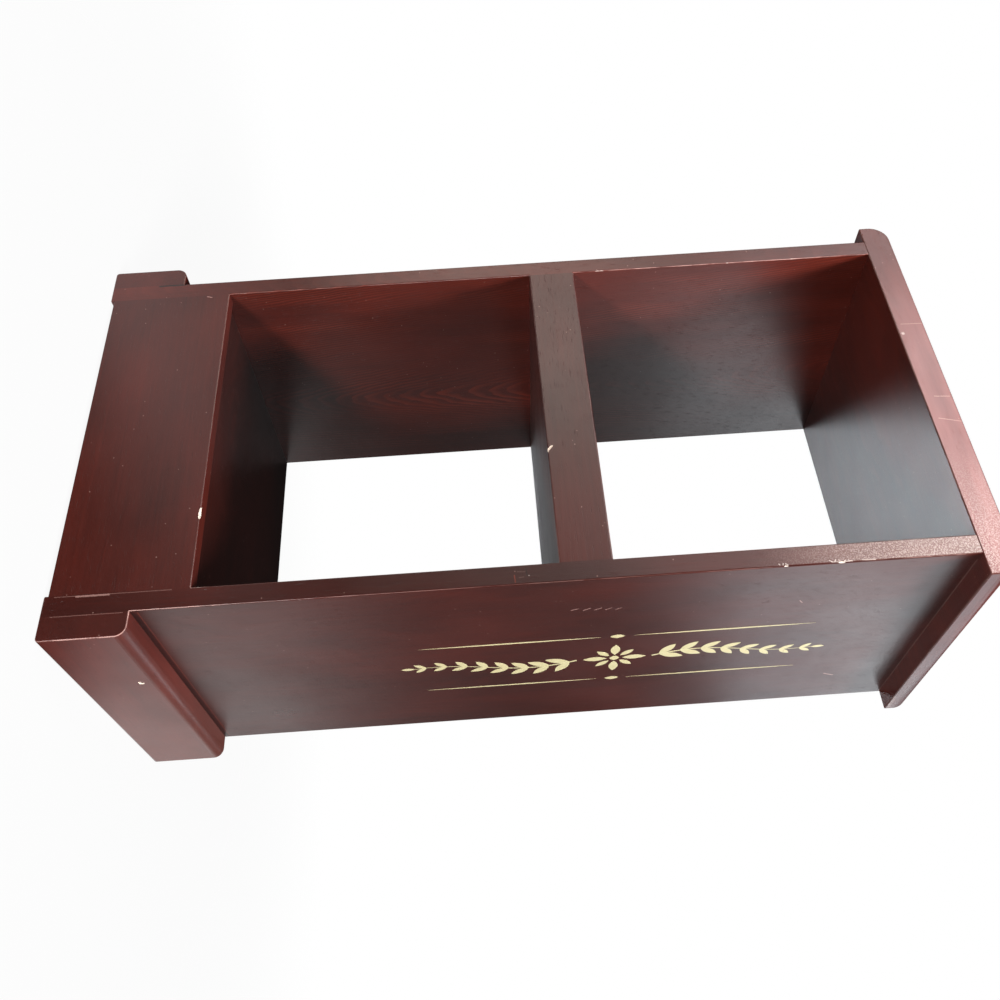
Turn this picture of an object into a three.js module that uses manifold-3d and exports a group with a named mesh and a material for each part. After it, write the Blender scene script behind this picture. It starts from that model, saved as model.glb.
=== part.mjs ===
// A small wooden bottle display, open at the front and the back: two side panels carry a top board,
// a middle shelf and a bottom shelf, an apron closes the front of the base, and a plinth block with
// a rounded shoulder stands against the foot of each panel. Every joint is a hidden dowel joint,
// and brads driven from inside hold the plinth blocks.
// Millimetres, +Z up. The open front faces -Y, and the origin is on the floor under the middle.

import * as THREE from "three";
import { mergeVertices } from "three/addons/utils/BufferGeometryUtils.js";
import Module from "manifold-3d";

// Overall sizes
const width = 245; // across the outer faces of the two side panels
const depth = 205; // front edges to back edges
const height = 535; // floor to the upper face of the top board

// Boards
const panelThickness = 12;
const topThickness = 18;
const topOverhang = 13; // how far the top board stands out past each side panel
const topRound = 12; // radius along the upper edge of each end of the top board
const middleShelfThickness = 30;
const middleShelfLevel = 314; // upper face above the floor
const bottomShelfThickness = 12;
const bottomShelfLevel = 77.5; // upper face above the floor
const apronThickness = 9.5;
const apronLip = 3; // how far the apron stands above the bottom shelf
const apronFloorGap = 2.2; // how far the apron stops short of the floor
const plinthThickness = 14.5;
const plinthHeight = 48.5;
const plinthRound = 6.4; // radius of the plinth block's shoulder
const ease = 1.2; // radius that takes the sharpness off the exposed arrises

// Dowels, with the length that goes into each board
const topDowelDiameter = 6;
const topDowelInPanel = 16;
const topDowelInTop = 10;
const middleDowelDiameter = 8;
const middleDowelInShelf = 22;
const bottomDowelDiameter = 6;
const bottomDowelInShelf = 20;
const apronDowelDiameter = 5;
const apronDowelInApron = 18;
const panelSkin = 4; // wood left between a blind hole and the outer face of a panel
const dowelChamfer = 0.8;
const dowelsPerJoint = 3;
const apronDowelsPerEnd = 2;

// Brads, driven outwards through each panel into its plinth block
const bradShank = 1.6; // diameter
const bradHead = 3.4; // diameter
const bradHeadThickness = 0.9;
const bradSink = 0.5; // depth of the head below the panel's inner face
const bradInBlock = 8;
const bradPoint = 2.4; // length of the tapered point
const bradsPerBlock = 3;

const fitGap = 0.3; // clearance round and behind every dowel and brad

// Facets
const easeSegments = 2;
const roundSegments = 6;
const dowelSides = 12;
const bradSides = 8;
const cutterOverrun = 2; // how far a drill starts outside the face that it enters

// Places worked out from the sizes above
const panelHeight = height - topThickness;
const panelMiddle = width / 2 - panelThickness / 2;
const clearWidth = width - 2 * panelThickness;
const panelHoleDepth = panelThickness - panelSkin;
const apronTop = bottomShelfLevel + apronLip;
const apronHeight = apronTop - apronFloorGap;
const apronMiddle = -depth / 2 + apronThickness / 2;
const bottomShelfDepth = depth - apronThickness;
const bottomShelfMiddle = apronThickness / 2;
const topDowelRow = spread(0, depth, dowelsPerJoint);
const middleDowelRow = spread(0, depth, dowelsPerJoint);
const bottomDowelRow = spread(bottomShelfMiddle, bottomShelfDepth, dowelsPerJoint);
const apronDowelRow = spread(apronFloorGap + apronHeight / 2, apronHeight, apronDowelsPerEnd);
const bradRow = spread(0, depth, bradsPerBlock);
const middleDowelLevel = middleShelfLevel - middleShelfThickness / 2;
const bottomDowelLevel = bottomShelfLevel - bottomShelfThickness / 2;
const bradLevel = plinthHeight / 2;
const bradHeadHole = bradSink + bradHeadThickness;

const sides = [
  { side: "left", out: -1 },
  { side: "right", out: 1 },
];

const stainedWood = () => new THREE.MeshStandardMaterial({ color: 0x4d211c, roughness: 0.42, metalness: 0 });
const dowelWood = () => new THREE.MeshStandardMaterial({ color: 0xc9a97c, roughness: 0.7, metalness: 0 });
const bradSteel = () => new THREE.MeshStandardMaterial({ color: 0x8b8d90, roughness: 0.4, metalness: 1 });

const wasm = await Module();
wasm.setup();

// Places of a number of fasteners, evenly spread over a length about its middle.
function spread(middle, length, count) {
  return Array.from({ length: count }, (_, i) => middle - length / 2 + (length * (i + 0.5)) / count);
}

// A closed three.js geometry as a solid that can be cut.
function toSolid(geometry) {
  geometry.deleteAttribute("normal");
  geometry.deleteAttribute("uv");
  const merged = mergeVertices(geometry);
  const triVerts = new Uint32Array(merged.index.array);
  const vertProperties = merged.attributes.position.array;
  return new wasm.Manifold(new wasm.Mesh({ numProp: 3, vertProperties, triVerts }));
}

function toGeometry(solid) {
  const mesh = solid.getMesh();
  const geometry = new THREE.BufferGeometry();
  geometry.setAttribute("position", new THREE.BufferAttribute(mesh.vertProperties, 3));
  geometry.setIndex(new THREE.BufferAttribute(mesh.triVerts, 1));
  const faceted = geometry.toNonIndexed();
  faceted.computeVertexNormals();
  return faceted;
}

// A rectangle from the lower left to the upper right corner. Its corners are rounded by the four
// radii, anticlockwise from the lower left, and a radius of 0 leaves a corner square.
function outline(left, bottom, right, top, radii) {
  const corners = [
    { x: left, y: bottom, inX: 1, inY: 1, start: Math.PI },
    { x: right, y: bottom, inX: -1, inY: 1, start: 1.5 * Math.PI },
    { x: right, y: top, inX: -1, inY: -1, start: 0 },
    { x: left, y: top, inX: 1, inY: -1, start: 0.5 * Math.PI },
  ];
  const shape = new THREE.Shape();
  corners.forEach(({ x, y, inX, inY, start }, i) => {
    const radius = radii[i];
    const middleX = x + inX * radius;
    const middleY = y + inY * radius;
    const first = [middleX + radius * Math.cos(start), middleY + radius * Math.sin(start)];
    if (i === 0) {
      shape.moveTo(...first);
    } else {
      shape.lineTo(...first);
    }
    if (radius > 0) {
      shape.absarc(middleX, middleY, radius, start, start + Math.PI / 2, false);
    }
  });
  return shape;
}

function extrude(shape, length, segments) {
  return new THREE.ExtrudeGeometry(shape, { depth: length, bevelEnabled: false, curveSegments: segments });
}

// Boards are made about x = 0 and y = 0, with the underside at z = 0. The three views of a board each
// round the arrises that are seen end-on in them: from above, from the front and from the right side.
function planSolid(x, y, z, radii) {
  return toSolid(extrude(outline(-x / 2, -y / 2, x / 2, y / 2, radii), z, easeSegments));
}

function frontSolid(x, y, z, radii, segments = easeSegments) {
  const geometry = extrude(outline(-x / 2, 0, x / 2, z, radii), y, segments);
  return toSolid(geometry.rotateX(Math.PI / 2).translate(0, y / 2, 0));
}

function sideSolid(x, y, z, radii) {
  const geometry = extrude(outline(-y / 2, 0, y / 2, z, radii), x, easeSegments);
  return toSolid(geometry.rotateX(Math.PI / 2).rotateZ(Math.PI / 2).translate(-x / 2, 0, 0));
}

const upright = new THREE.Vector3(0, 1, 0); // the axis of lathe and cylinder geometries

// A round hole, bored into a solid from a point on its face.
function bore(solid, diameter, point, direction, holeDepth, roundSides = dowelSides) {
  const drill = new THREE.CylinderGeometry(diameter / 2, diameter / 2, holeDepth + cutterOverrun, roundSides);
  const way = new THREE.Vector3(...direction);
  const middle = new THREE.Vector3(...point).addScaledVector(way, (holeDepth - cutterOverrun) / 2);
  drill.applyQuaternion(new THREE.Quaternion().setFromUnitVectors(upright, way));
  drill.translate(middle.x, middle.y, middle.z);
  return solid.subtract(toSolid(drill));
}

const display = new THREE.Group();
display.name = "bottle_display_shelf";

function addBoard(name, solid, x, y, z) {
  const board = new THREE.Mesh(toGeometry(solid), stainedWood());
  board.name = name;
  board.position.set(x, y, z);
  display.add(board);
}

// A lathe-turned pin, its axis laid along a direction, with the lathe's origin at a point.
function addPin(name, profile, roundSides, material, point, direction) {
  const pin = new THREE.Mesh(new THREE.LatheGeometry(profile, roundSides), material);
  pin.name = name;
  pin.position.set(...point);
  pin.quaternion.setFromUnitVectors(upright, new THREE.Vector3(...direction));
  display.add(pin);
}

function dowelProfile(diameter, length) {
  const radius = diameter / 2;
  const chamfer = Math.min(dowelChamfer, radius / 2, length / 4);
  return [
    new THREE.Vector2(0, 0),
    new THREE.Vector2(radius - chamfer, 0),
    new THREE.Vector2(radius, chamfer),
    new THREE.Vector2(radius, length - chamfer),
    new THREE.Vector2(radius - chamfer, length),
    new THREE.Vector2(0, length),
  ];
}

// Side panels: eased along the four upright arrises and round the foot, square at the top end
for (const { side, out } of sides) {
  const inner = (-out * panelThickness) / 2;
  let panel = planSolid(panelThickness, depth, panelHeight, [ease, ease, ease, ease])
    .intersect(frontSolid(panelThickness, depth, panelHeight, [ease, ease, 0, 0]))
    .intersect(sideSolid(panelThickness, depth, panelHeight, [ease, ease, 0, 0]));
  for (const y of topDowelRow) {
    const hole = topDowelDiameter + 2 * fitGap;
    panel = bore(panel, hole, [0, y, panelHeight], [0, 0, -1], topDowelInPanel + fitGap);
  }
  for (const y of middleDowelRow) {
    const hole = middleDowelDiameter + 2 * fitGap;
    panel = bore(panel, hole, [inner, y, middleDowelLevel], [out, 0, 0], panelHoleDepth);
  }
  for (const y of bottomDowelRow) {
    const hole = bottomDowelDiameter + 2 * fitGap;
    panel = bore(panel, hole, [inner, y, bottomDowelLevel], [out, 0, 0], panelHoleDepth);
  }
  for (const z of apronDowelRow) {
    const hole = apronDowelDiameter + 2 * fitGap;
    panel = bore(panel, hole, [inner, apronMiddle, z], [out, 0, 0], panelHoleDepth);
  }
  for (const y of bradRow) {
    const start = [inner, y, bradLevel];
    panel = bore(panel, bradHead + 2 * fitGap, start, [out, 0, 0], bradHeadHole, bradSides);
    const through = panelThickness + cutterOverrun;
    panel = bore(panel, bradShank + 2 * fitGap, start, [out, 0, 0], through, bradSides);
  }
  addBoard(`${side}_side_panel`, panel, out * panelMiddle, 0, 0);
}

// Top board: a large round along the upper edge of each end, the other arrises eased
{
  const topWidth = width + 2 * topOverhang;
  const round = Math.min(topRound, topThickness - ease);
  let top = frontSolid(topWidth, depth, topThickness, [ease, ease, round, round], roundSegments)
    .intersect(sideSolid(topWidth, depth, topThickness, [ease, ease, ease, ease]))
    .intersect(planSolid(topWidth, depth, topThickness, [ease, ease, ease, ease]));
  for (const { out } of sides) {
    for (const y of topDowelRow) {
      const hole = topDowelDiameter + 2 * fitGap;
      top = bore(top, hole, [out * panelMiddle, y, 0], [0, 0, 1], topDowelInTop + fitGap);
    }
  }
  addBoard("top_board", top, 0, 0, panelHeight);
}

// Middle shelf: full depth, eased along the front and the back
{
  let shelf = sideSolid(clearWidth, depth, middleShelfThickness, [ease, ease, ease, ease]);
  for (const { out } of sides) {
    for (const y of middleDowelRow) {
      const start = [(out * clearWidth) / 2, y, middleShelfThickness / 2];
      const hole = middleDowelDiameter + 2 * fitGap;
      shelf = bore(shelf, hole, start, [-out, 0, 0], middleDowelInShelf + fitGap);
    }
  }
  addBoard("middle_shelf", shelf, 0, 0, middleShelfLevel - middleShelfThickness);
}

// Bottom shelf: its square front edge meets the back of the apron
{
  let shelf = sideSolid(clearWidth, bottomShelfDepth, bottomShelfThickness, [0, ease, ease, 0]);
  for (const { out } of sides) {
    for (const y of bottomDowelRow) {
      const start = [(out * clearWidth) / 2, y - bottomShelfMiddle, bottomShelfThickness / 2];
      const hole = bottomDowelDiameter + 2 * fitGap;
      shelf = bore(shelf, hole, start, [-out, 0, 0], bottomDowelInShelf + fitGap);
    }
  }
  addBoard("bottom_shelf", shelf, 0, bottomShelfMiddle, bottomShelfLevel - bottomShelfThickness);
}

// Front apron: flush with the front edges of the panels, its upper edge a lip in front of the shelf
{
  let apron = sideSolid(clearWidth, apronThickness, apronHeight, [ease, ease, ease, ease]);
  for (const { out } of sides) {
    for (const z of apronDowelRow) {
      const start = [(out * clearWidth) / 2, 0, z - apronFloorGap];
      const hole = apronDowelDiameter + 2 * fitGap;
      apron = bore(apron, hole, start, [-out, 0, 0], apronDowelInApron + fitGap);
    }
  }
  addBoard("front_apron", apron, 0, apronMiddle, apronFloorGap);
}

// Plinth blocks: a rounded shoulder on the outer upper edge, the glued inner face square
for (const { side, out } of sides) {
  const round = Math.min(plinthRound, plinthThickness, plinthHeight - ease);
  const frontRadii = out > 0 ? [0, ease, round, 0] : [ease, 0, 0, round];
  const planRadii = out > 0 ? [0, ease, ease, 0] : [ease, 0, 0, ease];
  let block = frontSolid(plinthThickness, depth, plinthHeight, frontRadii, roundSegments)
    .intersect(planSolid(plinthThickness, depth, plinthHeight, planRadii))
    .intersect(sideSolid(plinthThickness, depth, plinthHeight, [ease, ease, 0, 0]));
  for (const y of bradRow) {
    const start = [(-out * plinthThickness) / 2, y, bradLevel];
    block = bore(block, bradShank + 2 * fitGap, start, [out, 0, 0], bradInBlock + fitGap, bradSides);
  }
  addBoard(`${side}_plinth_block`, block, out * (width / 2 + plinthThickness / 2), 0, 0);
}

// Dowels: each starts just clear of the bottom of its hole in the panel
for (const { side, out } of sides) {
  const holeBottom = out * (clearWidth / 2 + panelHoleDepth - fitGap);
  const inPanel = panelHoleDepth - fitGap;
  topDowelRow.forEach((y, i) => {
    const profile = dowelProfile(topDowelDiameter, topDowelInPanel + topDowelInTop);
    const start = [out * panelMiddle, y, panelHeight - topDowelInPanel];
    addPin(`top_dowel_${side}_${i + 1}`, profile, dowelSides, dowelWood(), start, [0, 0, 1]);
  });
  middleDowelRow.forEach((y, i) => {
    const profile = dowelProfile(middleDowelDiameter, inPanel + middleDowelInShelf);
    const start = [holeBottom, y, middleDowelLevel];
    addPin(`middle_shelf_dowel_${side}_${i + 1}`, profile, dowelSides, dowelWood(), start, [-out, 0, 0]);
  });
  bottomDowelRow.forEach((y, i) => {
    const profile = dowelProfile(bottomDowelDiameter, inPanel + bottomDowelInShelf);
    const start = [holeBottom, y, bottomDowelLevel];
    addPin(`bottom_shelf_dowel_${side}_${i + 1}`, profile, dowelSides, dowelWood(), start, [-out, 0, 0]);
  });
  apronDowelRow.forEach((z, i) => {
    const profile = dowelProfile(apronDowelDiameter, inPanel + apronDowelInApron);
    const start = [holeBottom, apronMiddle, z];
    addPin(`apron_dowel_${side}_${i + 1}`, profile, dowelSides, dowelWood(), start, [-out, 0, 0]);
  });
}

// Brads: a flat head seated in the panel, a straight shank and a point in the plinth block
for (const { side, out } of sides) {
  const shankEnd = bradHeadThickness + panelThickness - bradHeadHole + bradInBlock;
  const profile = [
    new THREE.Vector2(0, 0),
    new THREE.Vector2(bradHead / 2, 0),
    new THREE.Vector2(bradHead / 2, bradHeadThickness),
    new THREE.Vector2(bradShank / 2, bradHeadThickness),
    new THREE.Vector2(bradShank / 2, shankEnd - bradPoint),
    new THREE.Vector2(0, shankEnd),
  ];
  bradRow.forEach((y, i) => {
    const start = [out * (clearWidth / 2 + bradSink), y, bradLevel];
    addPin(`plinth_brad_${side}_${i + 1}`, profile, bradSides, bradSteel(), start, [out, 0, 0]);
  });
}

export default display;
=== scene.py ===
import math

import bmesh
import bpy
from mathutils import Matrix, Vector, noise


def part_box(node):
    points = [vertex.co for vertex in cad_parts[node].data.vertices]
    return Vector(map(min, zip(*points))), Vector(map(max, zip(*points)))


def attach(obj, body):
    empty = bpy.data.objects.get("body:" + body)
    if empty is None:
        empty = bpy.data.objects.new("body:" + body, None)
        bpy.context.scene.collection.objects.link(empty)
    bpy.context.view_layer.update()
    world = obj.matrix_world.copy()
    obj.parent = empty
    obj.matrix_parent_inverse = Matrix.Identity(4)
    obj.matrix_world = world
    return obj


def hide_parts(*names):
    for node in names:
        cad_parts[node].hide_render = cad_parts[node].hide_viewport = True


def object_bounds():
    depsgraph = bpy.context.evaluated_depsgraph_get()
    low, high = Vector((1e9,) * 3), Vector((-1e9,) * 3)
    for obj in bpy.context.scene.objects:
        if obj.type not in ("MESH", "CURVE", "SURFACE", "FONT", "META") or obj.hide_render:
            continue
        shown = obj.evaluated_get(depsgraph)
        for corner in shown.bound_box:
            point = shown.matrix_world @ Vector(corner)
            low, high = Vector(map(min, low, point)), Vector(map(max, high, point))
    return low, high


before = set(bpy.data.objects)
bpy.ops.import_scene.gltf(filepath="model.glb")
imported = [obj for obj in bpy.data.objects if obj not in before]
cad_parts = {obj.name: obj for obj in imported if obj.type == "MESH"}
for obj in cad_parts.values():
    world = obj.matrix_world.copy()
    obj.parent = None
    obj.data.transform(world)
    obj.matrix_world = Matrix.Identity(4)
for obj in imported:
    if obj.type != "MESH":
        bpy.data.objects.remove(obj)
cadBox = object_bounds()
mm = 0.001
front = cadBox[0][1]
back = cadBox[1][1]
print("frame loaded,", len(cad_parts), "nodes")

# Camera: the unit is seen lying on its back, so the picture's right is the unit's top
viewpoint = {
    "eye": (0.37217, -0.59251, 0.25061),
    "aim": (-0.00046, -0.06325, 0.26115),
    "pictureRight": (0.06285, 0.02437, 0.99773),
    "focalPixels": 996.6,
    "centrePixel": (507.3, 442.4),
    "picturePixels": 1000,
    "sensor": 36,
}


def placeCamera(view):
    eye = Vector(view["eye"])
    backwards = (eye - Vector(view["aim"])).normalized()
    right = Vector(view["pictureRight"])
    right = (right - backwards * right.dot(backwards)).normalized()
    up = backwards.cross(right)
    turn = Matrix((right, up, backwards)).transposed()
    data = bpy.data.cameras.new("photoCamera")
    data.sensor_width = view["sensor"]
    data.lens = view["focalPixels"] * view["sensor"] / view["picturePixels"]
    half = view["picturePixels"] / 2
    data.shift_x = (half - view["centrePixel"][0]) / view["picturePixels"]
    data.shift_y = (view["centrePixel"][1] - half) / view["picturePixels"]
    camera = bpy.data.objects.new("photoCamera", data)
    camera.matrix_world = Matrix.Translation(eye) @ turn.to_4x4()
    bpy.context.scene.collection.objects.link(camera)
    bpy.context.scene.camera = camera


placeCamera(viewpoint)
print("camera placed")


# Shader maths: a wire is a socket that can be added, multiplied and so on
class Wire:
    def __init__(self, tree, socket=None):
        self.tree = tree
        self.socket = socket

    def node(self, kind, settings, sockets, out=0):
        made = self.tree.nodes.new(kind)
        for key, value in settings.items():
            setattr(made, key, value)
        for key, value in sockets.items():
            if isinstance(value, Wire):
                self.tree.links.new(value.socket, made.inputs[key])
            else:
                made.inputs[key].default_value = value
        return Wire(self.tree, made.outputs[out])

    def math(self, operation, first, second=0.0):
        return self.node("ShaderNodeMath", {"operation": operation}, {0: first, 1: second})

    def vectorMath(self, operation, sockets, out=0):
        return self.node("ShaderNodeVectorMath", {"operation": operation}, sockets, out)

    def __add__(self, other):
        return self.math("ADD", self, other)

    def __radd__(self, other):
        return self.math("ADD", other, self)

    def __sub__(self, other):
        return self.math("SUBTRACT", self, other)

    def __rsub__(self, other):
        return self.math("SUBTRACT", other, self)

    def __mul__(self, other):
        return self.math("MULTIPLY", self, other)

    def __rmul__(self, other):
        return self.math("MULTIPLY", other, self)

    def __truediv__(self, other):
        return self.math("DIVIDE", self, other)

    def __pow__(self, other):
        return self.math("POWER", self, other)

    def step(self, low, high):
        return self.node("ShaderNodeMapRange", {"interpolation_type": "SMOOTHSTEP"},
                         {0: self, 1: low, 2: high, 3: 0.0, 4: 1.0})

    def blend(self, first, second):
        return self.node("ShaderNodeMix", {"data_type": "RGBA"}, {0: self, 6: first, 7: second}, 2)

    def noise(self, vector, scale=1.0, detail=2.0, rough=0.5):
        return self.node("ShaderNodeTexNoise", {},
                         {"Vector": vector, "Scale": scale, "Detail": detail, "Roughness": rough})

    def attribute(self, name):
        return self.node("ShaderNodeAttribute", {"attribute_name": name}, {}, 2)

    def objectPlace(self):
        return self.node("ShaderNodeTexCoord", {}, {}, 3)

    def parts(self):
        return [self.node("ShaderNodeSeparateXYZ", {}, {0: self}, i) for i in range(3)]

    # Camera, glossy and transmission rays
    def rays(self):
        return [self.node("ShaderNodeLightPath", {}, {}, i) for i in (0, 3, 6)]


def rgb(red, green, blue):
    shares = [part / 255 for part in (red, green, blue)]
    return tuple(((share + 0.055) / 1.055) ** 2.4 if share > 0.04045 else share / 12.92 for share in shares)


def newMaterial(name):
    material = bpy.data.materials.new(name)
    material.use_nodes = True
    material.node_tree.nodes.clear()
    return material, Wire(material.node_tree)


def finishMaterial(wire, sockets, bump=None, depth=0.0):
    shader = wire.tree.nodes.new("ShaderNodeBsdfPrincipled")
    if bump is not None:
        height = {"Strength": 1.0, "Distance": depth, "Height": bump}
        sockets["Normal"] = wire.node("ShaderNodeBump", {}, height)
    for key, value in sockets.items():
        if isinstance(value, Wire):
            wire.tree.links.new(value.socket, shader.inputs[key])
        else:
            shader.inputs[key].default_value = value
    output = wire.tree.nodes.new("ShaderNodeOutputMaterial")
    wire.tree.links.new(shader.outputs[0], output.inputs[0])


# Stained wood. Places on a board are in millimetres, along the grain, across it and deep, and so are
# the spans and fades of its look. A pattern that follows the grain has a rate along it, a rate
# across it and a shift of its own
stain = {
    "dark": rgb(42, 14, 10),
    "red": rgb(98, 31, 20),
    "late": rgb(148, 60, 42),
    # Pale colour of wear on the finish, also used for painted highlights and for a painted sheen
    "wornAndHighlight": rgb(206, 160, 150),
    # Pink of the rubbing on the top front, standing partly for a painted highlight
    "rubAndHighlightPink": rgb(220, 146, 142),
    # Near-white of wood showing through, also used for a painted highlight at the top's end
    "bareAndHighlight": rgb(232, 214, 204),
    "dust": rgb(178, 142, 132),
    "glue": rgb(16, 8, 7),
    "ringSpacing": 3.4,
    "ringSway": 36.0,
    "sway": (0.006, 0.012, 7.0),
    "ripple": (0.05, 0.1, 3.0),
    "rippleSize": 2.2,
    "uneven": (0.004, 0.06, 61.0),
    "unevenSize": 5.0,
    "ringPatches": (0.008, 0.05, 71.0),
    "ringShare": 0.3,
    "ringLostInFront": 0.8,
    "streak": (0.012, 0.42, 0.0),
    "streakShare": 0.28,
    "fibre": (0.05, 2.4, 11.0),
    "fibreShare": 0.2,
    "pores": (0.11, 2.0, 23.0),
    "poreShare": 0.45,
    "blotch": (0.010, 0.022, 31.0),
    "blotchShare": 0.7,
    # Fade of the painted shade on fronts
    "frontPaintedShadeSoft": 30.0,
    # Fade of the spans where edges get more wear and painted highlight
    "edgeWearAndHighlightSoft": 8.0,
    # Patches of the rubbing and painted highlight on fronts
    "rubAndHighlightPatches": (0.012, 0.08, 47.0),
    "dustCells": 170.0,
    "dustPatches": 75.0,
    "dustShare": 0.55,
    "wearPatches": 55.0,
    "barePatches": 130.0,
    # Share of the painted sheen towards the back
    "paintedSheenShare": 0.09,
    "flecks": 1300.0,
    "flecksAlong": (40.0, 130.0),
    "fleckShare": 0.5,
    "ragged": 1900.0,
    "smear": 9.0,
    "smearShare": 0.32,
    "roughness": 0.34,
    "specular": 0.6,
    "reliefDepth": 0.06 * mm,
}


def stainedWood(name, look):
    material, wire = newMaterial(name)
    seed = look["seed"]
    spot = wire.objectPlace()
    axes = [part * 1000 for part in spot.parts()]
    order = {"x": (0, 1, 2), "y": (1, 0, 2), "z": (2, 1, 0)}[look["grain"]]
    along, across, deep = (axes[i] for i in order)

    def stretched(alongRate, acrossRate, shift):
        places = {0: along * alongRate + (seed + shift), 1: across * acrossRate, 2: deep * acrossRate}
        return wire.node("ShaderNodeCombineXYZ", {}, places)

    def span(start, end, soft):
        return axes[2].step(start - soft, start + soft) * (1 - axes[2].step(end - soft, end + soft))

    def strokeMask(start, end, width):
        line = Vector(end) - Vector(start)
        offset = wire.vectorMath("SUBTRACT", {0: spot, 1: start})
        reach = wire.vectorMath("DOT_PRODUCT", {0: offset, 1: line}, 1)
        share = wire.node("ShaderNodeClamp", {}, {0: reach / max(line.length_squared, 1e-12)})
        foot = wire.vectorMath("SCALE", {0: line, "Scale": share})
        aside = wire.vectorMath("DISTANCE", {0: offset, 1: foot}, 1)
        ragged = wire.noise(spot, stain["ragged"], 3.0, 0.7) * width * 1.6
        return 1 - (aside + ragged - width * 0.8).step(width * 0.25, width * 0.8)

    sway = wire.noise(stretched(*stain["sway"])) - 0.5
    ripple = wire.noise(stretched(*stain["ripple"])) - 0.5
    uneven = wire.noise(stretched(*stain["uneven"]))
    fromPith = ((across - look["pith"][0]) ** 2 + (deep - look["pith"][1]) ** 2) ** 0.5
    fromPith = fromPith + sway * look.get("ringSway", stain["ringSway"]) + ripple * stain["rippleSize"]
    if "taper" in look:
        fromPith = fromPith - along * look["taper"]
    fromPith = fromPith + uneven * stain["unevenSize"]
    ring = wire.math("FRACT", fromPith / look.get("ringSpacing", stain["ringSpacing"]))
    ring = ring.step(0.25, 0.9) * (1 - ring.step(0.9, 1.0))
    frontFace = wire.attribute("frontFace")
    ringPatches = wire.noise(stretched(*stain["ringPatches"])).step(0.3, 0.75)
    ring = ring * ringPatches * (1 - frontFace * stain["ringLostInFront"])
    streak = wire.noise(stretched(*stain["streak"]), 1.0, 4.0, 0.6)
    fibre = wire.noise(stretched(*stain["fibre"]), 1.0, 3.0, 0.65)
    pores = wire.noise(stretched(*stain["pores"])).step(0.62, 0.74)
    blotch = wire.noise(stretched(*stain["blotch"]), 1.0, 3.0)
    shade = (blotch - 0.5) * stain["blotchShare"] + (streak - 0.5) * stain["streakShare"]
    shade = shade + (fibre - 0.5) * stain["fibreShare"] + 0.5
    colour = shade.step(0.0, 1.0).blend((*stain["dark"], 1), (*stain["red"], 1))
    colour = (ring * (look["figure"] * stain["ringShare"])).blend(colour, (*stain["late"], 1))
    colour = (pores * stain["poreShare"]).blend(colour, (*stain["dark"], 1))
    # Painted shade: the front face is made darker over a span of heights
    for start, end, depth in look.get("frontPaintedShade", []):
        paintedFrontShade = frontFace * span(start, end, stain["frontPaintedShadeSoft"]) * depth
        colour = paintedFrontShade.blend(colour, (*stain["dark"], 1))
    if "tone" in look:
        colour = wire.node("ShaderNodeHueSaturation", {}, {"Value": look["tone"], "Color": colour})

    # Dust, edge wear, rubbing and scratches; the pale colour on edges and on rubbing is partly real wear
    # and partly painted highlight
    cellPlaces = {"Vector": spot, "Scale": stain["dustCells"]}
    dust = 1 - wire.node("ShaderNodeTexVoronoi", {"feature": "F1"}, cellPlaces).step(0.04, 0.08)
    picked = wire.noise(spot, stain["dustPatches"], 1.0).step(0.5, 0.54)
    colour = (dust * picked * stain["dustShare"]).blend(colour, (*stain["dust"], 1))
    # Edges: pale colour on the eased arrises, real wear together with a painted highlight of each rounded
    # edge, stronger over the listed spans
    arris = wire.attribute("arris") * look["edgeWearAndHighlight"]
    for start, end, gain in look.get("edgeWearAndHighlightAt", []):
        arris = arris + arris * (span(start, end, stain["edgeWearAndHighlightSoft"]) * gain)
    wornAndHighlight = arris * wire.noise(spot, stain["wearPatches"], 4.0, 0.65).step(0.3, 0.7)
    colour = wire.math("MINIMUM", wornAndHighlight, 0.9).blend(colour, (*stain["wornAndHighlight"], 1))
    # Spots of near-white wood along the edges, real wear together with painted highlight
    rubbedAndHighlight = arris * wire.noise(spot, stain["barePatches"], 3.0).step(0.66, 0.74)
    colour = wire.math("MINIMUM", rubbedAndHighlight, 0.8).blend(colour, (*stain["bareAndHighlight"], 1))
    # Painted sheen: pale colour blended in more towards the back of the board
    if "paintedSheenBack" in look:
        paintedSheen = axes[1].step(*look["paintedSheenBack"]) * (0.6 + blotch * 0.8)
        colour = (paintedSheen * stain["paintedSheenShare"]).blend(colour, (*stain["wornAndHighlight"], 1))
    # Fronts near the top made paler: partly real wear from rubbing and partly painted highlight, on the top
    # board growing towards the near end
    if "rubAndHighlightFrom" in look:
        reach = frontFace * axes[2].step(*look["rubAndHighlightFrom"])
        if "rubAndHighlightAlong" in look:
            reach = reach * (0.15 + axes[0].step(*look["rubAndHighlightAlong"]) * 0.85)
        rubAndHighlightPatches = wire.noise(stretched(*stain["rubAndHighlightPatches"]), 1.0, 3.0, 0.6).step(0.25, 0.75)
        rubAndHighlightAmount = reach * (0.55 + rubAndHighlightPatches * 0.45)
        colour = (rubAndHighlightAmount * look["rubbedAndHighlight"]).blend(colour, (*stain[look["rubAndHighlightShows"]], 1))
        nearEnd = reach * axes[0].step(*stain["flecksAlong"])
        flecks = nearEnd * wire.noise(spot, stain["flecks"], 3.0, 0.7).step(0.42, 0.66)
        colour = (flecks * stain["fleckShare"]).blend(colour, (*stain["bareAndHighlight"], 1))
    for scratch in look.get("scratches", []):
        mask = strokeMask(scratch["start"], scratch["end"], scratch["width"])
        colour = (mask * scratch["depth"]).blend(colour, (*stain[scratch["shows"]], 1))

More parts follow.
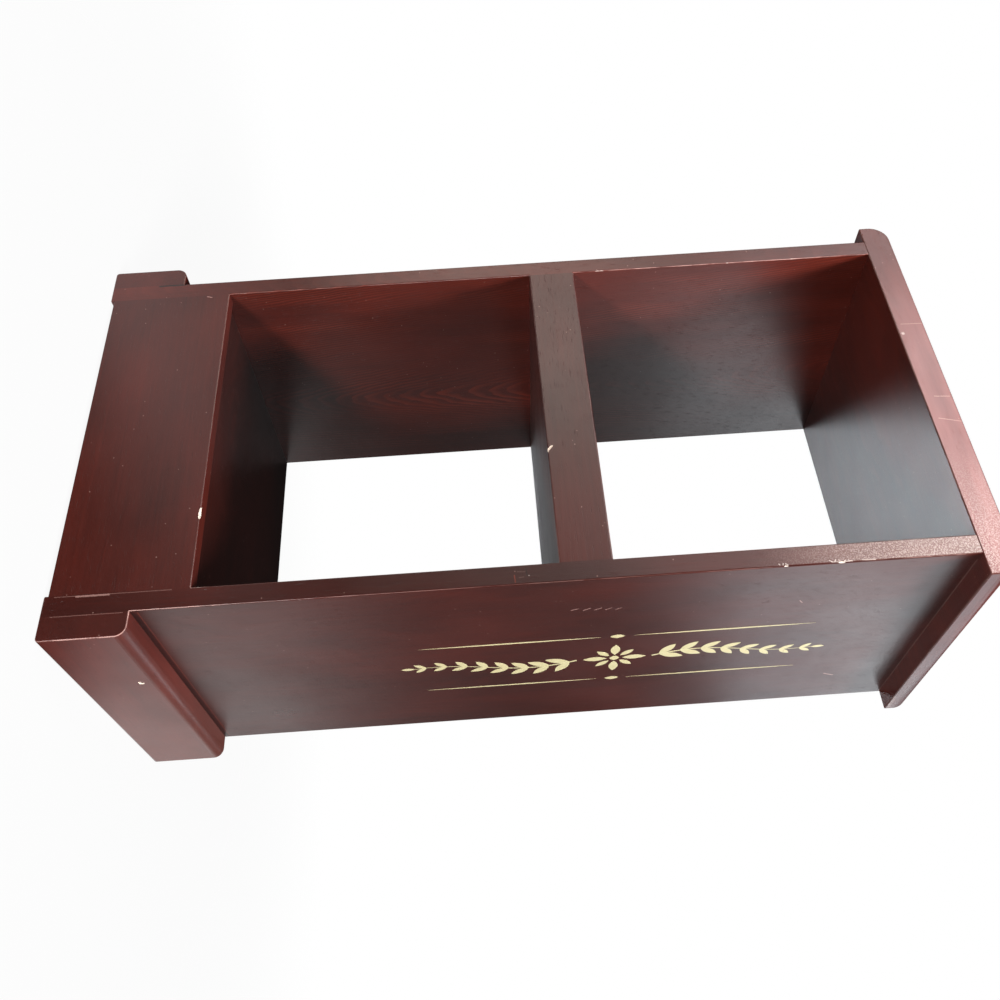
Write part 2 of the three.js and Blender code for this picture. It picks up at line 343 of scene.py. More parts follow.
    smear = wire.noise(spot, stain["smear"], 4.0, 0.6)
    roughness = stain["roughness"] + (smear - 0.5) * stain["smearShare"] + wornAndHighlight * 0.15 + pores * 0.06
    relief = fibre * 0.4 - pores * 0.8 + ring * 0.25 + streak * 0.5
    finishMaterial(wire, {
        "Base Color": colour,
        "Roughness": roughness,
        "Specular IOR Level": stain["specular"],
    }, relief, stain["reliefDepth"])
    return material


def bareWood(name):
    material, wire = newMaterial(name)
    spot = wire.objectPlace()
    fibre = wire.noise(spot, 900.0, 3.0, 0.6)
    colour = fibre.blend((*rgb(222, 198, 178), 1), (*rgb(252, 243, 232), 1))
    finishMaterial(wire, {"Base Color": colour, "Roughness": 0.75 + fibre * 0.15}, fibre, 0.2 * mm)
    return material


def drawnSteel(name):
    material, wire = newMaterial(name)
    spot = wire.objectPlace()
    lines = wire.noise(spot, 1500.0, 2.0)
    colour = lines.blend((*rgb(120, 122, 126), 1), (*rgb(176, 178, 182), 1))
    sockets = {"Base Color": colour, "Metallic": 1.0, "Roughness": 0.28 + lines * 0.2}
    finishMaterial(wire, sockets, lines, 0.02 * mm)
    return material


paleWood = bareWood("paleWood")
beech = bareWood("beech")
bradSteel = drawnSteel("bradSteel")
print("plain materials made")


# Board tools
boardWork = {
    "sameLevel": 0.01 * mm,
    "smoothAngle": math.radians(40),
    "flatNormal": 0.9999,
    "arrisPart": (0.12, 0.7),
    "chipSeed": 7,
    "chipShakeRate": 700,
    "chipShakeShare": 0.45,
}


def deselectAll():
    bpy.ops.object.select_all(action="DESELECT")


def pickOnly(piece):
    deselectAll()
    piece.select_set(True)
    bpy.context.view_layer.objects.active = piece


def near(first, second):
    return abs(first - second) < boardWork["sameLevel"]


def startBoard(name, node):
    low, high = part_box(node)
    deselectAll()
    bpy.ops.mesh.primitive_cube_add(size=1, location=(low + high) / 2)
    board = bpy.context.object
    board.name = name
    board.scale = high - low
    bpy.ops.object.transform_apply(location=True, rotation=False, scale=True)
    return board


def scoreAcross(board, levels):
    pickOnly(board)
    bpy.ops.object.mode_set(mode="EDIT")
    for level in levels:
        bpy.ops.mesh.select_all(action="SELECT")
        bpy.ops.mesh.bisect(plane_co=(0, 0, level), plane_no=(0, 0, 1))
    bpy.ops.object.mode_set(mode="OBJECT")


def easeEdges(board, wanted, radius, steps):
    pickOnly(board)
    bpy.ops.object.mode_set(mode="EDIT")
    bpy.ops.mesh.select_mode(type="EDGE")
    bpy.ops.mesh.select_all(action="DESELECT")
    mesh = bmesh.from_edit_mesh(board.data)
    for edge in mesh.edges:
        ends = [v.co for v in edge.verts]
        if wanted((ends[0] + ends[1]) / 2, (ends[1] - ends[0]).normalized()):
            edge.select_set(True)
    bmesh.update_edit_mesh(board.data)
    bpy.ops.mesh.bevel(offset=radius, segments=steps, profile=0.5, affect="EDGES")
    bpy.ops.object.mode_set(mode="OBJECT")


# The arris attribute is 1 inside an eased edge and 0 on the flat faces beside it. With allFront, the
# whole edge of the front counts, also where it runs round a shoulder
def markArris(board, radius, allFront=False):
    low = Vector([min(v.co[i] for v in board.data.vertices) for i in range(3)])
    high = Vector([max(v.co[i] for v in board.data.vertices) for i in range(3)])
    nearest, farthest = (radius * part for part in boardWork["arrisPart"])
    marks = board.data.attributes.new("arris", "FLOAT", "POINT")
    for vertex in board.data.vertices:
        gaps = [min(vertex.co[i] - low[i], high[i] - vertex.co[i]) for i in range(3)]
        inside = [nearest < gap < farthest for gap in gaps]
        onArris = sum(inside) >= 2 or (allFront and inside[1])
        marks.data[vertex.index].value = 1.0 if onArris else 0.0


# The frontFace attribute is 1 on the flat front of a board and fades out on its eased edges
def markFront(board):
    marks = board.data.attributes.new("frontFace", "FLOAT", "POINT")
    for vertex in board.data.vertices:
        marks.data[vertex.index].value = 1.0 if near(vertex.co.y, front) else 0.0


# A chip shows bare wood; its seed keeps the shape the same at each run
def knockChip(board, chip):
    noise.seed_set(boardWork["chipSeed"])
    deselectAll()
    bpy.ops.mesh.primitive_ico_sphere_add(subdivisions=3, radius=1, location=chip["at"])
    cutter = bpy.context.object
    cutter.rotation_euler = chip["turn"]
    cutter.scale = chip["size"]
    bpy.ops.object.transform_apply(location=True, rotation=True, scale=True)
    for vertex in cutter.data.vertices:
        shake = noise.noise_vector(vertex.co * boardWork["chipShakeRate"])
        vertex.co += shake * min(chip["size"]) * boardWork["chipShakeShare"]
    cutter.data.materials.append(paleWood)
    pickOnly(board)
    cut = board.modifiers.new("chip", "BOOLEAN")
    cut.operation = "DIFFERENCE"
    cut.solver = "EXACT"
    cut.material_mode = "TRANSFER"
    cut.object = cutter
    bpy.ops.object.modifier_apply(modifier="chip")
    bpy.data.objects.remove(cutter)


def finishBoard(board, node):
    pickOnly(board)
    bpy.ops.object.shade_smooth_by_angle(angle=boardWork["smoothAngle"])
    for face in board.data.polygons:
        if max(abs(part) for part in face.normal) > boardWork["flatNormal"]:
            face.use_smooth = False
    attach(board, "root")
    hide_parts(node)


# A stroke is a scratch, a seam or a smear of glue, and shows one of the stain's colours
def stroke(start, end, width, depth=0.6, shows="wornAndHighlight"):
    return {"start": start, "end": end, "width": width, "depth": depth, "shows": shows}


def frontStroke(x, z, endX, endZ, width, depth=0.6, shows="wornAndHighlight"):
    return stroke((x, front, z), (endX, front, endZ), width, depth, shows)


# Side panels: an arris is eased only where nothing is joined to it
panelWork = {
    "ease": 0.8 * mm,
    "easeSteps": 4,
    "runOut": 1.2 * mm,
    "left": {
        "grain": "z", "pith": (22.0, -132.0), "taper": 0.15, "seed": 3.0, "figure": 1.3, "ringSpacing": 2.2,
        "ringSway": 7.0, "tone": 1.05, "edgeWearAndHighlight": 0.4, "edgeWearAndHighlightAt": [(316.0, 515.0, 2.0)],
        "scratches": [
            frontStroke(-0.1222, 0.032, -0.1222, 0.049, 0.0016, 1.0, "glue"),
        ],
        "chips": [],
    },
    "right": {
        "grain": "z", "pith": (-30.0, 330.0), "seed": 17.0, "figure": 0.2, "tone": 0.75,
        "edgeWearAndHighlight": 0.3, "edgeWearAndHighlightAt": [(40.0, 96.0, 4.0), (370.0, 510.0, 4.0)],
        # Paler front near the top: wear from rubbing and painted highlight
        "rubAndHighlightFrom": (380.0, 500.0), "rubbedAndHighlight": 0.45, "rubAndHighlightShows": "wornAndHighlight",
        # Painted shade on the front face from 110 to 330 mm up
        "frontPaintedShade": [(110.0, 330.0, 0.55)],
        "scratches": [
            stroke((0.1225, -0.0655, 0.2905), (0.1225, -0.0672, 0.2945), 0.0006),
            stroke((0.1225, -0.0645, 0.2975), (0.1225, -0.0668, 0.3015), 0.0006),
            stroke((0.1225, -0.0640, 0.3040), (0.1225, -0.0662, 0.3080), 0.0006),
            stroke((0.1225, -0.0635, 0.3105), (0.1225, -0.0655, 0.3140), 0.0005),
            stroke((0.1225, -0.0630, 0.3165), (0.1225, -0.0645, 0.3195), 0.0005),
            stroke((0.1225, -0.058, 0.425), (0.1225, -0.055, 0.427), 0.0005),
            stroke((0.1225, 0.060, 0.467), (0.1225, 0.064, 0.474), 0.0008),
            frontStroke(0.1168, 0.2586, 0.1208, 0.2589, 0.0006, 0.4, "late"),
            frontStroke(0.1146, 0.2604, 0.1149, 0.2646, 0.0004, 0.14, "dust"),
            frontStroke(0.1183, 0.2612, 0.1180, 0.2638, 0.0004, 0.14, "dust"),
            frontStroke(0.1122, 0.2652, 0.1170, 0.2656, 0.0005, 0.7, "glue"),
            frontStroke(0.1173, 0.2666, 0.1174, 0.2668, 0.0005, 0.5, "bareAndHighlight"),
            frontStroke(0.1112, 0.006, 0.1112, 0.07, 0.0004, 0.2),
            frontStroke(0.1116, 0.018, 0.1116, 0.036, 0.0009, 0.4),
            stroke((0.1225, -0.1, 0.0522), (0.1225, 0.1, 0.0522), 0.0005, 0.45, "late"),
            stroke((0.1225, -0.095, 0.5163), (0.1225, 0.1, 0.5163), 0.0007, 0.2),
            frontStroke(0.1207, 0.4040, 0.1214, 0.4046, 0.0004, 0.8, "bareAndHighlight"),
            frontStroke(0.1205, 0.4066, 0.1216, 0.4062, 0.0004, 0.8, "bareAndHighlight"),
            frontStroke(0.1209, 0.4078, 0.1217, 0.4090, 0.0004, 0.8, "bareAndHighlight"),
            frontStroke(0.1206, 0.4322, 0.1215, 0.4334, 0.0004, 0.8, "bareAndHighlight"),
            frontStroke(0.1204, 0.4356, 0.1216, 0.4350, 0.0005, 0.8, "bareAndHighlight"),
            frontStroke(0.1207, 0.4372, 0.1218, 0.4388, 0.0004, 0.8, "bareAndHighlight"),
            frontStroke(0.1210, 0.4410, 0.1217, 0.4402, 0.0004, 0.8, "bareAndHighlight"),
            frontStroke(0.1212, 0.4425, 0.1219, 0.4446, 0.0004, 0.8, "bareAndHighlight"),
            frontStroke(0.1217, 0.4330, 0.1219, 0.4440, 0.0003, 0.8, "bareAndHighlight"),
            frontStroke(0.1216, 0.4500, 0.1219, 0.4575, 0.0003, 0.8, "bareAndHighlight"),
        ],
        "chips": [
            {"at": (0.1225, front, 0.408), "size": (0.0006, 0.0005, 0.0016), "turn": (0, 0, 0)},
            {"at": (0.1225, front, 0.439), "size": (0.0006, 0.0006, 0.0024), "turn": (0, 0, 0)},
        ],
    },
}


def makePanel(side, out):
    node = side + "_side_panel"
    low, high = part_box(node)
    outer = high.x if out > 0 else low.x
    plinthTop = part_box(side + "_plinth_block")[1].z
    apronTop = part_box("front_apron")[1].z
    floorLow, floorHigh = (corner.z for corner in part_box("bottom_shelf"))
    shelfLow, shelfHigh = (corner.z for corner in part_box("middle_shelf"))
    panel = startBoard(side + "SidePanel", node)
    runOut = panelWork["runOut"]
    ends = [(plinthTop, -1), (floorLow, 1), (floorHigh, -1), (apronTop, -1), (shelfLow, 1), (shelfHigh, -1)]
    scoreAcross(panel, [level + step * runOut for level, way in ends for step in (0, way)])

    def wanted(middle, along):
        atFront = near(middle.y, low.y)
        atBack = near(middle.y, high.y)
        if abs(along.z) < 0.5:
            return near(middle.z, low.z) and not near(middle.x, outer)
        if near(middle.x, outer):
            return (atFront or atBack) and middle.z > plinthTop
        openSpan = apronTop < middle.z < shelfLow or middle.z > shelfHigh
        if atFront:
            return openSpan
        return atBack and (openSpan or floorHigh < middle.z < shelfLow or middle.z < floorLow)

    easeEdges(panel, wanted, panelWork["ease"], panelWork["easeSteps"])
    markArris(panel, panelWork["ease"])
    markFront(panel)
    panel.data.materials.append(stainedWood(side + "PanelStain", panelWork[side]))
    for chip in panelWork[side]["chips"]:
        knockChip(panel, chip)
    finishBoard(panel, node)


for side, out in (("left", -1), ("right", 1)):
    makePanel(side, out)
print("side panels made")


# Top board: a large round along the upper edge of each end
topWork = {
    "round": 12 * mm,
    "roundSteps": 12,
    "ease": 0.8 * mm,
    "easeSteps": 4,
    "look": {
        "grain": "x", "pith": (-60.0, 900.0), "seed": 41.0, "figure": 0.3, "edgeWearAndHighlight": 0.3,
        # Paler pink front near the top, growing towards the near end: wear from rubbing and painted
        # highlight
        "rubAndHighlightFrom": (400.0, 500.0), "rubbedAndHighlight": 0.43, "rubAndHighlightShows": "rubAndHighlightPink", "rubAndHighlightAlong": (-125.0, 10.0),
        "scratches": [
            frontStroke(-0.046, 0.5205, -0.0455, 0.534, 0.0006, 0.4),
            frontStroke(0.0135, 0.524, 0.0142, 0.533, 0.0006, 0.5),
            frontStroke(0.0301, 0.5215, 0.0334, 0.534, 0.0006, 0.5),
            frontStroke(-0.038, 0.5195, -0.038, 0.5195, 0.0018, 0.6, "bareAndHighlight"),
            # Pale streaks on the end near the back, widening backwards: a painted highlight of the end
            stroke((0.137, 0.035, 0.5176), (0.137, 0.062, 0.5178), 0.0009, 0.3, "bareAndHighlight"),
            stroke((0.137, 0.058, 0.5178), (0.137, 0.088, 0.5182), 0.0016, 0.35, "bareAndHighlight"),
            stroke((0.137, 0.080, 0.5182), (0.137, 0.101, 0.5192), 0.0026, 0.45, "bareAndHighlight"),
        ],
    },
}


def makeTop():
    low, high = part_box("top_board")
    top = startBoard("topBoard", "top_board")

    def endEdge(middle, along):
        return abs(along.y) > 0.5 and near(middle.z, high.z)

    def faceEdge(middle, along):
        onFace = near(middle.y, low.y) or near(middle.y, high.y)
        return onFace and abs(along.y) < 0.5 or abs(along.y) > 0.5 and near(middle.z, low.z)

    easeEdges(top, endEdge, topWork["round"], topWork["roundSteps"])
    easeEdges(top, faceEdge, topWork["ease"], topWork["easeSteps"])
    markArris(top, topWork["ease"], allFront=True)
    markFront(top)
    top.data.materials.append(stainedWood("topStain", topWork["look"]))
    finishBoard(top, "top_board")


makeTop()
print("top board made")


# Shelves and apron: boards between the panels, eased along their length
crossWork = {
    "ease": 0.8 * mm,
    "easeSteps": 4,
    "middle_shelf": {
        "name": "middleShelf", "grain": "x", "pith": (20.0, 120.0), "seed": 53.0, "figure": 0.08,
        "tone": 0.72, "edgeWearAndHighlight": 0.35,
        "scratches": [
            frontStroke(-0.0397, 0.2824, -0.0397, 0.2824, 0.002, 0.6, "bareAndHighlight"),
        ],
        "chips": [
            {"at": (0.0333, front, 0.2856), "size": (0.0026, 0.0009, 0.0007), "turn": (0, 0.8, 0)},
            {"at": (0.0347, front, 0.2842), "size": (0.0017, 0.0008, 0.0006), "turn": (0, -0.3, 0)},
        ],
    },
    "bottom_shelf": {
        "name": "bottomShelf", "grain": "x", "pith": (-20.0, 260.0), "seed": 67.0, "figure": 0.4,
        # Painted shade: tone 0.35 makes this shelf far darker than the other boards
        "tone": 0.35, "edgeWearAndHighlight": 0.3,
        "chips": [],
    },
    "front_apron": {
        "name": "frontApron", "grain": "x", "pith": (-330.0, 60.0), "seed": 79.0, "figure": 0.06,
        "tone": 0.92, "edgeWearAndHighlight": 0.3,
        "scratches": [
            frontStroke(-0.1095, 0.0656, -0.1085, 0.0686, 0.0006),
        ],
        "chips": [{"at": (0.062, front, 0.0807), "size": (0.0048, 0.0012, 0.0013), "turn": (0, 0.1, 0)}],
    },
}


def makeCrossBoard(node, wanted):
    look = crossWork[node]
    board = startBoard(look["name"], node)
    easeEdges(board, wanted, crossWork["ease"], crossWork["easeSteps"])
    markArris(board, crossWork["ease"])
    board.data.materials.append(stainedWood(look["name"] + "Stain", look))
    for chip in look["chips"]:
        knockChip(board, chip)
    finishBoard(board, node)


def longEdge(middle, along):
    return abs(along.x) > 0.5


def backEdge(middle, along):
    return abs(along.x) > 0.5 and near(middle.y, back)


makeCrossBoard("middle_shelf", longEdge)
makeCrossBoard("bottom_shelf", backEdge)
makeCrossBoard("front_apron", longEdge)
print("shelves and apron made")


# Plinth blocks: a rounded shoulder, with the glued face left square
plinthWork = {
    "round": 6.4 * mm,
    "roundSteps": 10,
    "footRound": 2 * mm,
    "ease": 0.8 * mm,
    "easeSteps": 4,
    "left": {
        "grain": "y", "pith": (-300.0, 20.0), "seed": 91.0, "figure": 0.05, "edgeWearAndHighlight": 0.3,
        "chips": [],
    },
    "right": {
        # Painted light: tone 1.3 makes this block a lighter copy of its twin's stain, for its lit side
        "grain": "y", "pith": (330.0, 10.0), "seed": 103.0, "figure": 0.05, "edgeWearAndHighlight": 1.2, "tone": 1.3,
        # Painted sheen towards the back of this block, and painted shade on its front
        "paintedSheenBack": (-90.0, 100.0), "frontPaintedShade": [(-60.0, 120.0, 0.6)],
        "scratches": [
            frontStroke(0.1231, 0.006, 0.1231, 0.045, 0.0004, 0.2),
        ],
        "chips": [
            {"at": (0.137, -0.0382, 0.0362), "size": (0.0009, 0.0017, 0.0012), "turn": (0.5, 0, 0)},
            {"at": (0.137, -0.0372, 0.0366), "size": (0.0009, 0.0010, 0.0017), "turn": (0.2, 0, 0)},
        ],
    },
}


def makePlinth(side, out):
    node = side + "_plinth_block"
    low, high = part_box(node)
    outer = high.x if out > 0 else low.x
    inner = low.x if out > 0 else high.x
    block = startBoard(side + "PlinthBlock", node)

    def shoulder(middle, along):
        return abs(along.y) > 0.5 and near(middle.x, outer) and near(middle.z, high.z)

    def faceEdge(middle, along):
        onFace = near(middle.y, low.y) or near(middle.y, high.y)
        return onFace and abs(along.y) < 0.5 and not near(middle.x, inner)

    def footEdge(middle, along):
        return abs(along.y) > 0.5 and near(middle.x, outer) and near(middle.z, low.z)

    easeEdges(block, shoulder, plinthWork["round"], plinthWork["roundSteps"])
    easeEdges(block, footEdge, plinthWork["footRound"], plinthWork["easeSteps"])
    easeEdges(block, faceEdge, plinthWork["ease"], plinthWork["easeSteps"])
    markArris(block, plinthWork["ease"], allFront=True)
    markFront(block)
    block.data.materials.append(stainedWood(side + "PlinthStain", plinthWork[side]))
    for chip in plinthWork[side]["chips"]:
        knockChip(block, chip)
    finishBoard(block, node)


for side, out in (("left", -1), ("right", 1)):
    makePlinth(side, out)
print("plinth blocks made")

# Gold print: a rosette between two leafy sprigs, with swelled rules above and below
printWork = {
    "middle": (8 * mm, 320 * mm),
    "thickness": 0.08 * mm,
    "ink": rgb(222, 207, 152),
    "inkPale": rgb(238, 228, 184),
    "petals": 8,
    "petal": (15 * mm, 6 * mm),
    "smallPetal": 0.75,
    "petalStart": 5 * mm,
    "eyeRadius": 3.2 * mm,
    "sprigStart": 24 * mm,
    "sprigLength": 104 * mm,
    "sprigWave": 7 * mm,
    "sprigHalfTurns": 1.7,
    "sprigFade": 0.4,
    "stemRadius": 0.75 * mm,
    "stemPoints": 9,
    "stemTaper": (1.1, 0.8),
    "leafPairs": 8,
    "leafShift": 0.35,
    "leafFade": 0.5,
    "leaf": (17 * mm, 6.4 * mm),
    "leafLean": math.radians(38),
    "ruleHeight": 33 * mm,
    "ruleGap": 10 * mm,
    "rule": (112 * mm, 1.5 * mm),
    "lozenge": (9 * mm, 5 * mm),
}


def goldInk(name):
    material, wire = newMaterial(name)
    spot = wire.objectPlace()
    flow = wire.noise(spot, 260.0, 3.0, 0.6)
    colour = flow.blend((*printWork["ink"], 1), (*printWork["inkPale"], 1))
    missing = wire.noise(spot, 480.0, 3.0, 0.7).step(0.66, 0.7)
    colour = (missing * 0.7).blend(colour, (*stain["red"], 1))
    roughness = 0.42 + (flow - 0.5) * 0.2 + missing * 0.1
    finishMaterial(wire, {"Base Color": colour, "Roughness": roughness}, flow - missing, 0.03 * mm)
    return material


# A flat blade lies along x from the origin; its sides run to a point at both ends
def startBlade(name, length, width, corners):
    deselectAll()
    bpy.ops.mesh.primitive_circle_add(vertices=corners, radius=1, fill_type="NGON")
    blade = bpy.context.object
    blade.name = name
    bpy.ops.object.mode_set(mode="EDIT")
    bpy.ops.mesh.select_all(action="SELECT")
    bpy.ops.mesh.extrude_region_move(TRANSFORM_OT_translate={"value": (0, 0, printWork["thickness"])})
    bpy.ops.mesh.select_all(action="SELECT")
    bpy.ops.mesh.normals_make_consistent(inside=False)
    bpy.ops.object.mode_set(mode="OBJECT")
    for vertex in blade.data.vertices:
        x, y, z = vertex.co
        vertex.co = ((x + 1) / 2 * length, y * abs(y) * width / 2, z)
    return blade


def copyBlade(blade, place, turn, size=1.0):
    copy = blade.copy()
    copy.data = blade.data.copy()
    copy.location = (*place, 0)
    copy.rotation_euler = (0, 0, turn)
    copy.scale = (size, size, 1)
    bpy.context.scene.collection.objects.link(copy)
    return copy


def makeRosette():
    petal = startBlade("petal", *printWork["petal"], 20)
    eye = startBlade("eye", 2 * printWork["eyeRadius"], 2 * printWork["eyeRadius"], 24)
    eye.location.x = -printWork["eyeRadius"]
    pieces = [eye]
    for i in range(printWork["petals"]):
        turn = i * 2 * math.pi / printWork["petals"]
        place = (printWork["petalStart"] * math.cos(turn), printWork["petalStart"] * math.sin(turn))
        pieces.append(copyBlade(petal, place, turn, 1.0 if i % 2 == 0 else printWork["smallPetal"]))
    bpy.data.objects.remove(petal)
    return pieces


def sprigPoint(share):
    wave = math.sin(share * printWork["sprigHalfTurns"] * math.pi) * printWork["sprigWave"]
    reach = printWork["sprigStart"] + share * printWork["sprigLength"]
    return Vector((reach, wave * (1 - printWork["sprigFade"] * share)))


def makeStem(side):
    deselectAll()
    bpy.ops.curve.primitive_bezier_curve_add()
    stem = bpy.context.object
    points = stem.data.splines[0].bezier_points
    points.add(printWork["stemPoints"] - len(points))
    thick, thinning = printWork["stemTaper"]
    for i, point in enumerate(points):
        share = i / (len(points) - 1)
        point.co = (*sprigPoint(share) * side, printWork["thickness"] / 2)
        point.handle_left_type = "AUTO"
        point.handle_right_type = "AUTO"
        point.radius = thick - thinning * share
    stem.data.bevel_depth = printWork["stemRadius"]
    stem.data.bevel_resolution = 2
    stem.data.use_fill_caps = True
    bpy.ops.object.convert(target="MESH")
    for vertex in stem.data.vertices:
        lift = (vertex.co.z - printWork["thickness"] / 2) / printWork["stemRadius"]
        vertex.co.z = printWork["thickness"] * (0.5 + 0.45 * lift)
    return stem


def makeSprig(side):
    leaf = startBlade("leaf", *printWork["leaf"], 24)
    pieces = [makeStem(side)]
    for i in range(printWork["leafPairs"]):
        share = (i + printWork["leafShift"]) / printWork["leafPairs"]
        run = sprigPoint(share + 0.02) - sprigPoint(share - 0.02)
        heading = math.atan2(run.y, run.x) + (0 if side > 0 else math.pi)
        size = 1.0 - printWork["leafFade"] * share
        for lean in (-1, 1):
            turn = heading + lean * printWork["leafLean"]
            pieces.append(copyBlade(leaf, sprigPoint(share) * side, turn, size))
    tip = sprigPoint(0.99)
    pieces.append(copyBlade(leaf, tip * side, 0 if side > 0 else math.pi, 0.5))
    bpy.data.objects.remove(leaf)
    return pieces


def makeRules():
    rule = startBlade("rule", *printWork["rule"], 40)
    lozenge = startBlade("lozenge", *printWork["lozenge"], 8)
    pieces = []
    for height in (-printWork["ruleHeight"], printWork["ruleHeight"]):
        pieces.append(copyBlade(rule, (printWork["ruleGap"], height), 0))
        pieces.append(copyBlade(rule, (-printWork["ruleGap"], height), math.pi))
        pieces.append(copyBlade(lozenge, (-printWork["lozenge"][0] / 2, height), 0))
    bpy.data.objects.remove(rule)
    bpy.data.objects.remove(lozenge)
    return pieces


def makePrint():
    pieces = makeRosette() + makeSprig(1) + makeSprig(-1) + makeRules()
    deselectAll()
    for piece in pieces:
        piece.select_set(True)
    bpy.context.view_layer.objects.active = pieces[0]
    bpy.ops.object.transform_apply(location=True, rotation=True, scale=True)
    bpy.ops.object.join()
    gold = bpy.context.object
    gold.name = "goldPrint"
    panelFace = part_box("right_side_panel")[1].x
    middle = Vector((panelFace, *printWork["middle"]))
    turn = Matrix(((0, 0, 1), (0, -1, 0), (1, 0, 0)))
    gold.matrix_world = Matrix.Translation(middle) @ turn.to_4x4()
    pickOnly(gold)
    bpy.ops.object.transform_apply(location=True, rotation=True, scale=True)
    gold.data.materials.clear()
    gold.data.materials.append(goldInk("goldInk"))
    bpy.ops.object.shade_smooth_by_angle(angle=boardWork["smoothAngle"])
    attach(gold, "root")


makePrint()
print("gold print made")

# Hidden fasteners keep their solids and get their own finish
for node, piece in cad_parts.items():
    if "dowel" in node:
        piece.data.materials.clear()
        piece.data.materials.append(beech)
    if "brad" in node:
        piece.data.materials.clear()
        piece.data.materials.append(bradSteel)
print("fasteners finished")

# Studio: a pale round floor, a white backdrop and soft lamps. A pair is where a fade starts and ends
studio = {
    "floorFade": (0.25, 0.8),
    "floorWhite": 0.45,
    "floorGlow": 0.94,
    "floorDim": {"right": (-0.15, 0.05), "deep": (-0.12, 0.05)},
    "fill": 0.02,
    "mirroredLow": {
        "right": (0.0, 0.1), "rightEnd": (0.45, 0.55), "deep": (0.0, 0.1), "upEnd": (-0.1, 0.1),
        "dimmed": (-0.24, -0.1), "least": 0.15, "most": 1.0,
    },
    "mirroredHigh": {
        "right": (0.45, 0.58), "deep": (0.45, 0.6), "up": (0.0, 0.12), "upEnd": (0.4, 0.5), "share": 0.8,
    },
    "aim": (0.0, 0.0, 0.27),
    "plain": (1.0, 1.0, 1.0),
    "warm": (1.0, 0.93, 0.84),
    "cool": (0.86, 0.94, 1.0),
    "key": {"place": (0.45, -0.34, 1.2), "width": 0.2, "height": 0.2, "power": 17.5, "tint": "plain"},
    "foot": {"place": (1.1, -0.8, -0.3), "width": 0.16, "height": 0.16, "power": 12, "tint": "plain"},
    "front": {"place": (-0.29, -0.74, 0.92), "width": 0.4, "height": 0.4, "power": 3.1, "tint": "plain"},
    "side": {"place": (-0.85, -0.95, 0.3), "width": 0.6, "height": 0.6, "power": 3.5, "tint": "warm"},
    "high": {"place": (-0.75, -0.85, 0.85), "width": 0.4, "height": 0.4, "power": 1.8, "tint": "plain"},
    "middle": {
        "place": (-0.33, -0.97, 0.58), "width": 0.25, "height": 0.25, "power": 0.55, "tint": "plain",
    },
    "rim": {"place": (0.65, 1.18, 1.05), "width": 0.8, "height": 0.8, "power": 3.6, "tint": "cool"},
    "corner": {"place": (0.52, 1.13, 0.92), "width": 0.12, "height": 0.12, "power": 0.13, "tint": "plain"},
    "under": {
        "place": (-1.1, 1.8, -0.85), "width": 0.8, "height": 0.25, "power": 0.23, "tint": "cool",
        "aim": (0.0, 0.0, 0.61), "spread": 16,
    },
}


# The floor ahead of the unit stays out of the boards' gloss
def makeFloor():
    nearest, farthest = studio["floorFade"]
    dim = studio["floorDim"]
    deselectAll()
    bpy.ops.mesh.primitive_circle_add(vertices=96, radius=farthest, fill_type="NGON")
    floor = bpy.context.object
    floor.name = "studioFloor"
    material, wire = newMaterial("paleFloor")
    spot = wire.objectPlace()
    right, deep = spot.parts()[:2]
    ahead = (1 - deep.step(*dim["deep"])) * right.step(*dim["right"])
    camera, glossy, through = wire.rays()
    white = studio["floorWhite"]
    lit = wire.node("ShaderNodeBsdfDiffuse", {}, {"Color": (white, white, white, 1)})
    shine = 1 - glossy * ahead
    glowColour = shine.blend((0, 0, 0, 1), (1, 1, 1, 1))
    glow = wire.node("ShaderNodeEmission", {}, {"Color": glowColour, "Strength": 1.0})
    seen = wire.math("MAXIMUM", wire.math("MAXIMUM", camera, glossy), through)
    shown = wire.node("ShaderNodeMixShader", {}, {0: seen * studio["floorGlow"], 1: lit, 2: glow})
    reach = wire.vectorMath("LENGTH", {0: spot}, 1)
    gone = wire.node("ShaderNodeBsdfTransparent", {}, {})
    faded = wire.node("ShaderNodeMixShader", {}, {0: reach.step(nearest, farthest), 1: shown, 2: gone})
    output = material.node_tree.nodes.new("ShaderNodeOutputMaterial")
    material.node_tree.links.new(faded.socket, output.inputs[0])
    floor.data.materials.append(material)
    floor.visible_shadow = False


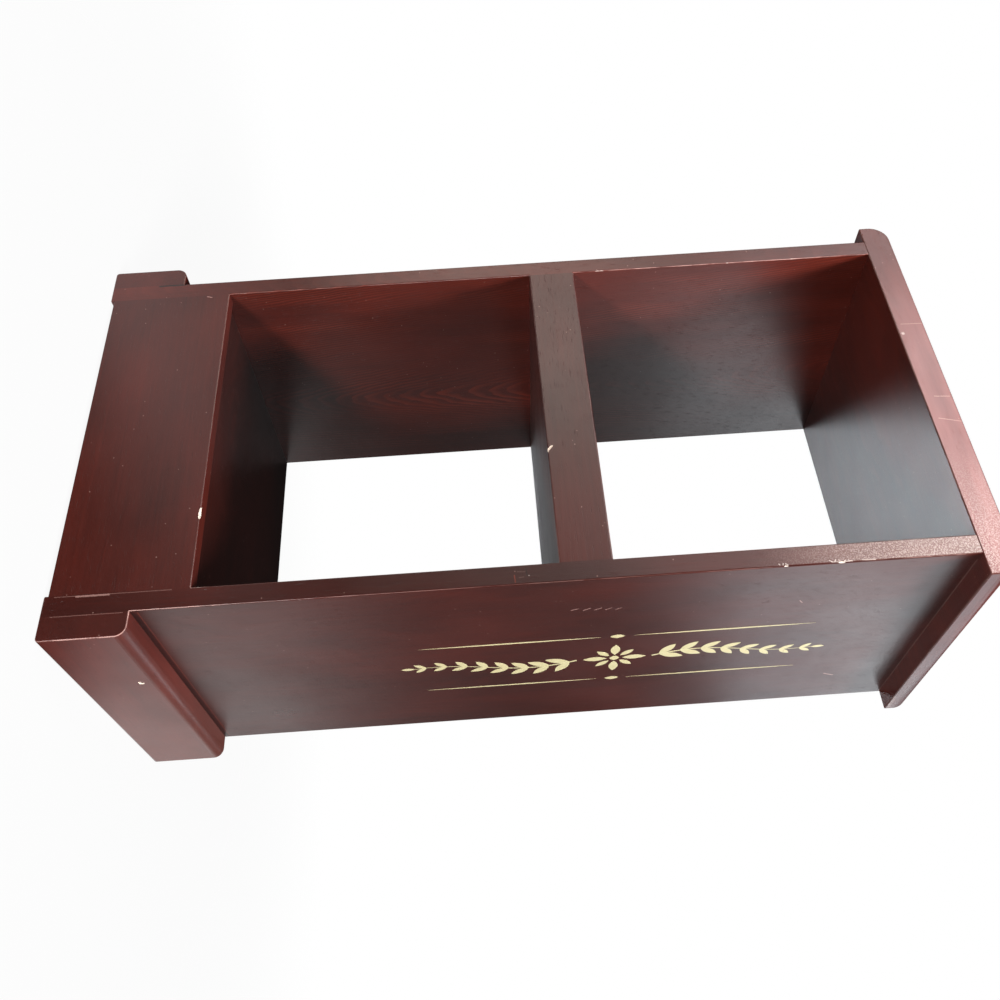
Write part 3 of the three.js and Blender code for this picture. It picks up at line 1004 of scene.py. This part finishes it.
# The backdrop is white to the eye; what the boards mirror of it is dim, but for two pale
# stretches, one low behind the unit and one above it
def makeWorld():
    lowPart = studio["mirroredLow"]
    highPart = studio["mirroredHigh"]
    world = bpy.data.worlds.new("studioWorld")
    bpy.context.scene.world = world
    world.use_nodes = True
    world.node_tree.nodes.clear()
    wire = Wire(world.node_tree)
    way = wire.node("ShaderNodeTexCoord", {}, {}, 0)
    right, deep, up = way.parts()
    low = right.step(*lowPart["right"]) * (1 - right.step(*lowPart["rightEnd"]))
    low = low * deep.step(*lowPart["deep"]) * (1 - up.step(*lowPart["upEnd"]))
    fading = 1 - up.step(*lowPart["dimmed"])
    low = low * (lowPart["least"] + fading * (lowPart["most"] - lowPart["least"]))
    high = right.step(*highPart["right"]) * deep.step(*highPart["deep"])
    high = high * up.step(*highPart["up"]) * (1 - up.step(*highPart["upEnd"]))
    camera, glossy, through = wire.rays()
    mirrored = glossy * (low + high * highPart["share"])
    shown = wire.math("MAXIMUM", wire.math("MAXIMUM", camera, through), mirrored)
    white = wire.node("ShaderNodeBackground", {}, {"Color": (1, 1, 1, 1), "Strength": 1.0})
    fill = wire.node("ShaderNodeBackground", {}, {"Color": (1, 1, 1, 1), "Strength": studio["fill"]})
    mixed = wire.node("ShaderNodeMixShader", {}, {0: shown, 1: fill, 2: white})
    output = world.node_tree.nodes.new("ShaderNodeOutputWorld")
    world.node_tree.links.new(mixed.socket, output.inputs[0])


def hangLamp(name):
    lampWork = studio[name]
    data = bpy.data.lights.new(name + "Lamp", "AREA")
    data.shape = "RECTANGLE"
    data.size = lampWork["width"]
    data.size_y = lampWork["height"]
    data.energy = lampWork["power"]
    data.spread = math.radians(lampWork.get("spread", 180))
    data.color = studio[lampWork["tint"]]
    lamp = bpy.data.objects.new(name + "Lamp", data)
    lamp.location = lampWork["place"]
    beam = Vector(lampWork.get("aim", studio["aim"])) - lamp.location
    lamp.rotation_euler = beam.to_track_quat("-Z", "Y").to_euler()
    lamp.visible_camera = False
    bpy.context.scene.collection.objects.link(lamp)


makeFloor()
makeWorld()
for lampName in ("key", "foot", "front", "side", "high", "middle", "rim", "corner", "under"):
    hangLamp(lampName)
bpy.context.scene.view_settings.view_transform = "Standard"
print("studio lit")
